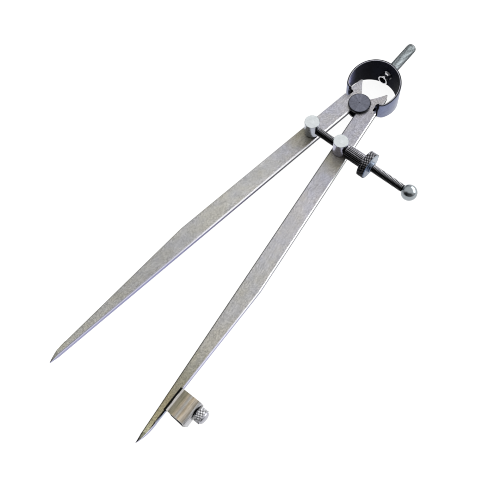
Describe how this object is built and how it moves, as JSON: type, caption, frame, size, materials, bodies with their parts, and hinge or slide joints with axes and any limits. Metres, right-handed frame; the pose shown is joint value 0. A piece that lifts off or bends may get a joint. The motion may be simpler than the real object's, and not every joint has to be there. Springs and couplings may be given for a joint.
{
  "type": "drawing compass",
  "caption": "Spring-bow drawing compass with two pointed steel legs, a knurled handle, a threaded spindle with a quick-adjusting nut, and a pencil clamp.",
  "frame": {"origin": "on the pivot's axis, at the back face of the pivot roller", "axes": "+Z square to the legs, out of their front faces; +Y along the centreline from the points to the handle; +X towards the spindle's ball"},
  "size_m": [0.0834, 0.2456, 0.0216],
  "materials": {
    "leg_steel": "satin-ground carbon steel with fine grain along the legs",
    "spring_steel": "oil-blackened spring steel, smooth, with a bright ground rim",
    "roller_steel": "face-turned steel, grey, with a blackened rim",
    "zinc_plate": "bright zinc-plated turned steel",
    "black_oxide": "black-oxide steel with a soft sheen",
    "nut_steel": "blackened knurled rim with a turned blue-grey face",
    "ball_steel": "polished steel",
    "handle_steel": "nickel-plated steel with fine straight and cross knurling",
    "nickel_plate": "bright nickel plate",
    "clamp_steel": "brushed nickel-plated sheet steel"
  },
  "bodies": {
    "head": {"bow_spring": "spring_steel", "handle": "handle_steel", "handle_nut": "nickel_plate", "pivot_roller": "roller_steel"},
    "left_leg": {"left_leg": "leg_steel"},
    "right_leg": {"right_leg": "leg_steel", "pencil_clamp": "clamp_steel", "clamp_rivet": "clamp_steel"},
    "left_post": {"left_post": "zinc_plate", "left_post_washer": "zinc_plate", "spindle": "black_oxide", "spindle_ball": "ball_steel"},
    "right_post": {"right_post": "zinc_plate", "right_post_washer": "zinc_plate", "spacer_sleeve": "black_oxide"},
    "adjusting_nut": {"adjusting_nut": "nut_steel"},
    "clamp_screw": {"clamp_screw": "nickel_plate"}
  },
  "joints": [
    {"name": "left_leg_swing", "type": "hinge", "parent": "head", "child": "left_leg", "pos_m": [0, 0, 0.00321], "axis": [0, 0, -1], "range_deg": [-7.9, 20], "deforming": ["bow_spring"]},
    {"name": "right_leg_swing", "type": "hinge", "parent": "head", "child": "right_leg", "pos_m": [0, 0, 0.00321], "axis": [0, 0, 1], "range_deg": [-7.9, 20]},
    {"name": "left_post_swivel", "type": "hinge", "parent": "left_leg", "child": "left_post", "pos_m": [-0.00903, -0.02792, 0.00321], "axis": [0, 0, 1], "range_deg": [-7.9, 20]},
    {"name": "right_post_swivel", "type": "hinge", "parent": "right_leg", "child": "right_post", "pos_m": [0.00903, -0.02792, 0.00321], "axis": [0, 0, -1], "range_deg": [-7.9, 20]},
    {"name": "adjusting_nut_turn", "type": "hinge", "parent": "right_post", "child": "adjusting_nut", "pos_m": [0.02563, -0.02792, 0.00926], "axis": [1, 0, 0], "continuous": true},
    {"name": "clamp_screw_slide", "type": "slide", "parent": "right_leg", "child": "clamp_screw", "axis": [0.9989, 0.0474, 0], "range_m": [-0.0005, 0.0018]}
  ],
  "couplings": [
    {"joint": "right_leg_swing", "follows": "left_leg_swing", "ratio": 1},
    {"joint": "left_post_swivel", "follows": "left_leg_swing", "ratio": 1},
    {"joint": "right_post_swivel", "follows": "left_leg_swing", "ratio": 1}
  ]
}
